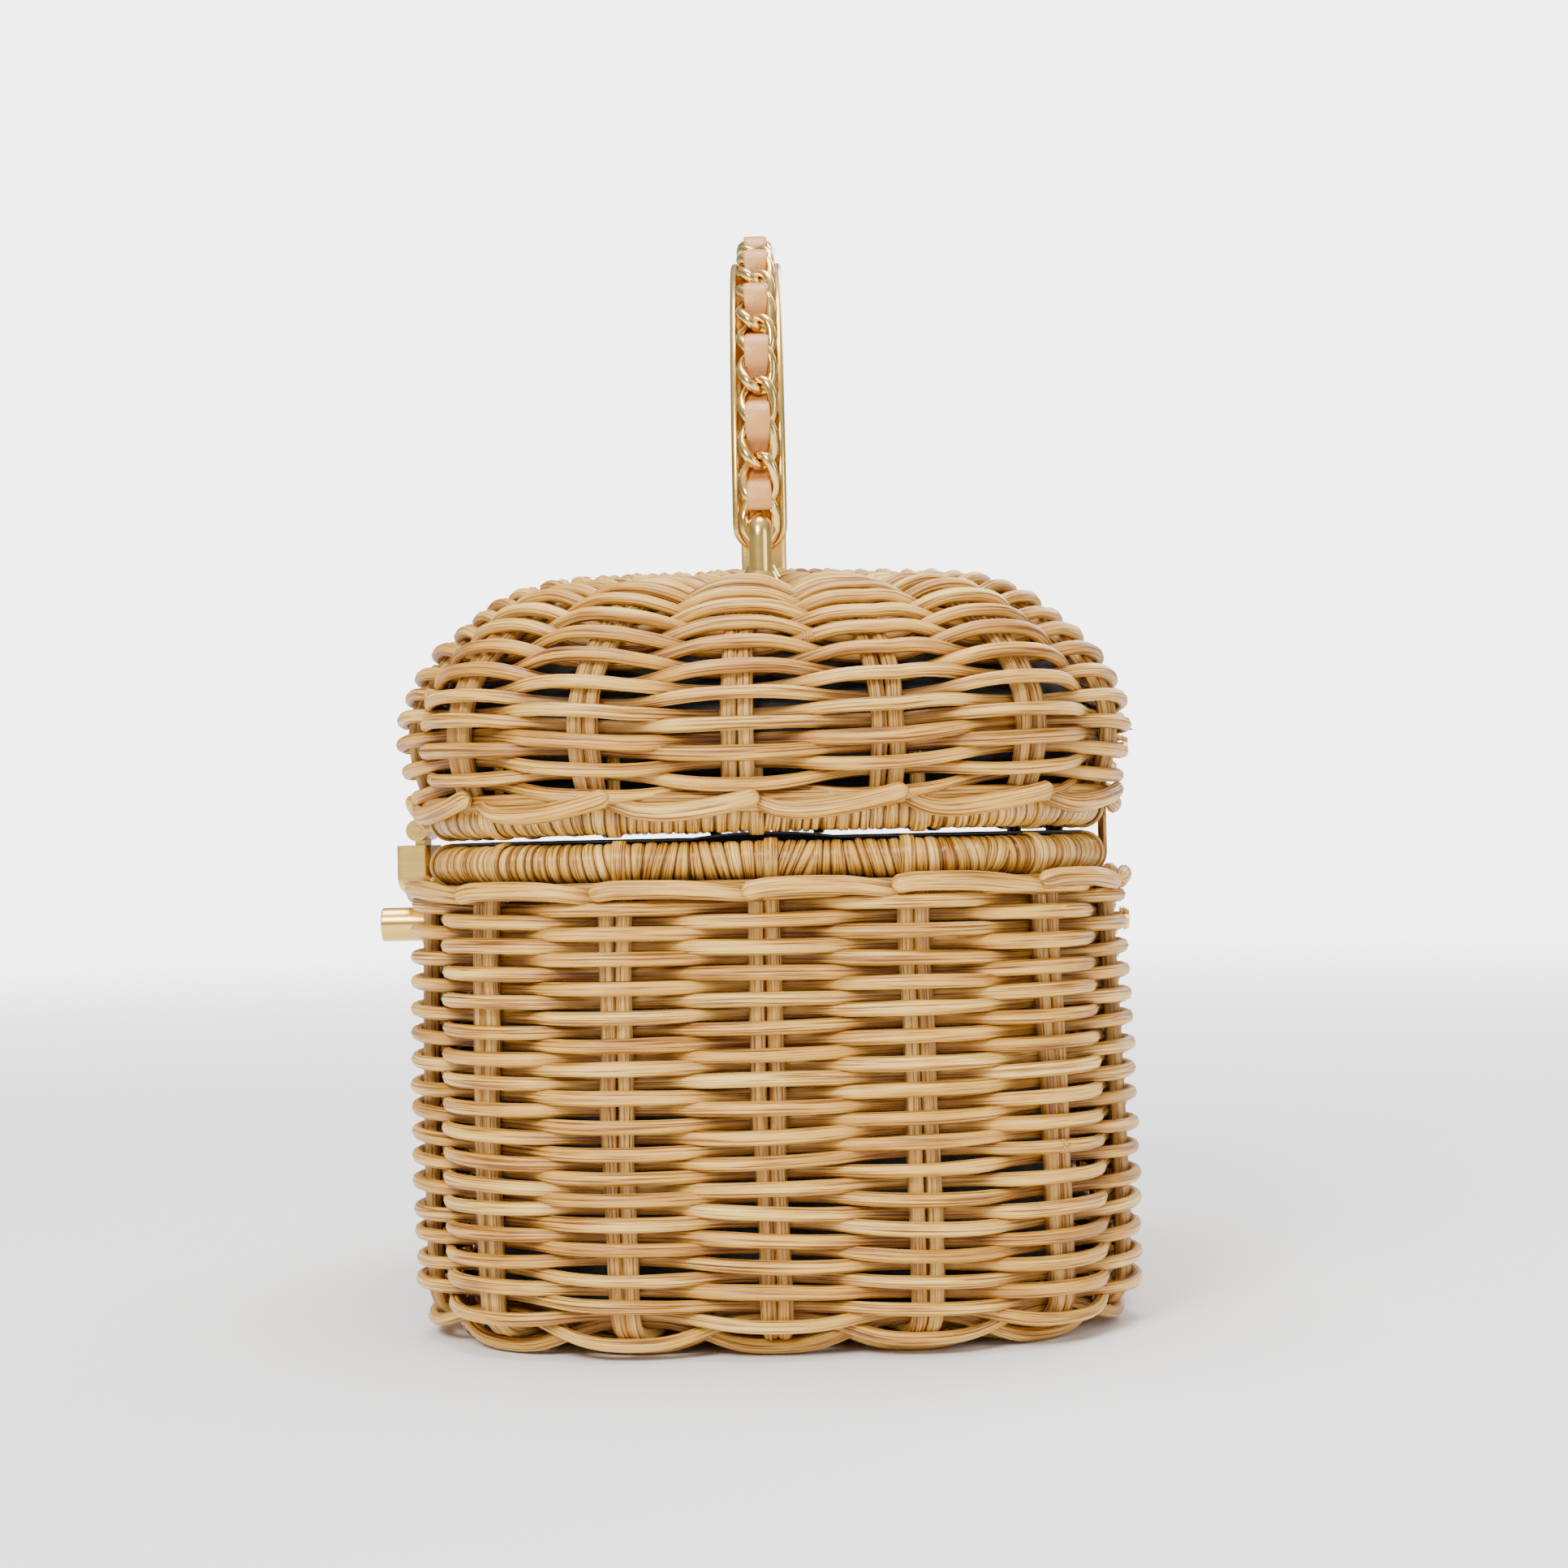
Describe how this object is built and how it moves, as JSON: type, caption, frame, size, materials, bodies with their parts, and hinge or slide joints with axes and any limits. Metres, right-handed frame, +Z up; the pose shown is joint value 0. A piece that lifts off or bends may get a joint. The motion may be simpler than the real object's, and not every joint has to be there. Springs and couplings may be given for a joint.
{
  "type": "woven rattan box bag",
  "caption": "Woven rattan box bag with a domed hinged lid, an arched metal handle with chain and leather trim, and a hasp with a turning latch.",
  "frame": {"origin": "centre of the underside, on the surface the bag stands on", "axes": "+Z up, X along the bag's length, -Y towards the front with the latch"},
  "size_m": [0.199, 0.1563, 0.2273],
  "materials": {
    "rattan": "natural satin rattan core",
    "cane_wrap": "natural split cane",
    "lining_cloth": "matt black woven cloth",
    "strap_leather": "black grained leather",
    "tan_leather": "smooth tan leather",
    "gold_metal": "satin champagne gold"
  },
  "bodies": {
    "basket": {"basket_wall": "rattan", "basket_base": "rattan", "basket_rim": "cane_wrap", "basket_lining": "lining_cloth", "lock_plate": "gold_metal", "lock_plate_rivets": "gold_metal", "lock_backing": "gold_metal", "hinge_binding_left": "cane_wrap", "hinge_binding_right": "cane_wrap", "hinge_strap_left": "strap_leather", "hinge_strap_right": "strap_leather", "hinge_rivets_basket": "gold_metal"},
    "lid": {"lid_shell": "rattan", "lid_rim": "cane_wrap", "lid_lining": "lining_cloth", "hinge_rivets_lid": "gold_metal", "hasp_bracket": "gold_metal", "hasp_bracket_rivets": "gold_metal", "hasp_pin": "gold_metal", "handle_loop_left": "gold_metal", "handle_loop_right": "gold_metal", "loop_feet": "gold_metal", "loop_washers": "gold_metal", "loop_nuts": "gold_metal"},
    "handle": {"handle_bar": "gold_metal", "handle_chain": "gold_metal", "handle_leather": "tan_leather"},
    "hasp": {"hasp_leaf": "gold_metal"},
    "latch": {"lock_knob": "gold_metal", "lock_knob_nut": "gold_metal"}
  },
  "joints": [
    {"name": "lid_hinge", "type": "hinge", "parent": "basket", "child": "lid", "pos_m": [0, 0.069, 0.09585], "axis": [-1, 0, 0], "range_deg": [0, 100], "deforming": ["hinge_binding_left", "hinge_binding_right", "hinge_strap_left", "hinge_strap_right"]},
    {"name": "handle_swing", "type": "hinge", "parent": "lid", "child": "handle", "pos_m": [0, 0, 0.157], "axis": [1, 0, 0], "range_deg": [-90, 90]},
    {"name": "hasp_swing", "type": "hinge", "parent": "lid", "child": "hasp", "pos_m": [0, -0.0751, 0.0986], "axis": [-1, 0, 0], "range_deg": [0, 100]},
    {"name": "latch_turn", "type": "hinge", "parent": "basket", "child": "latch", "pos_m": [0, -0.075, 0.0783], "axis": [0, 1, 0], "range_deg": [0, 90]}
  ]
}
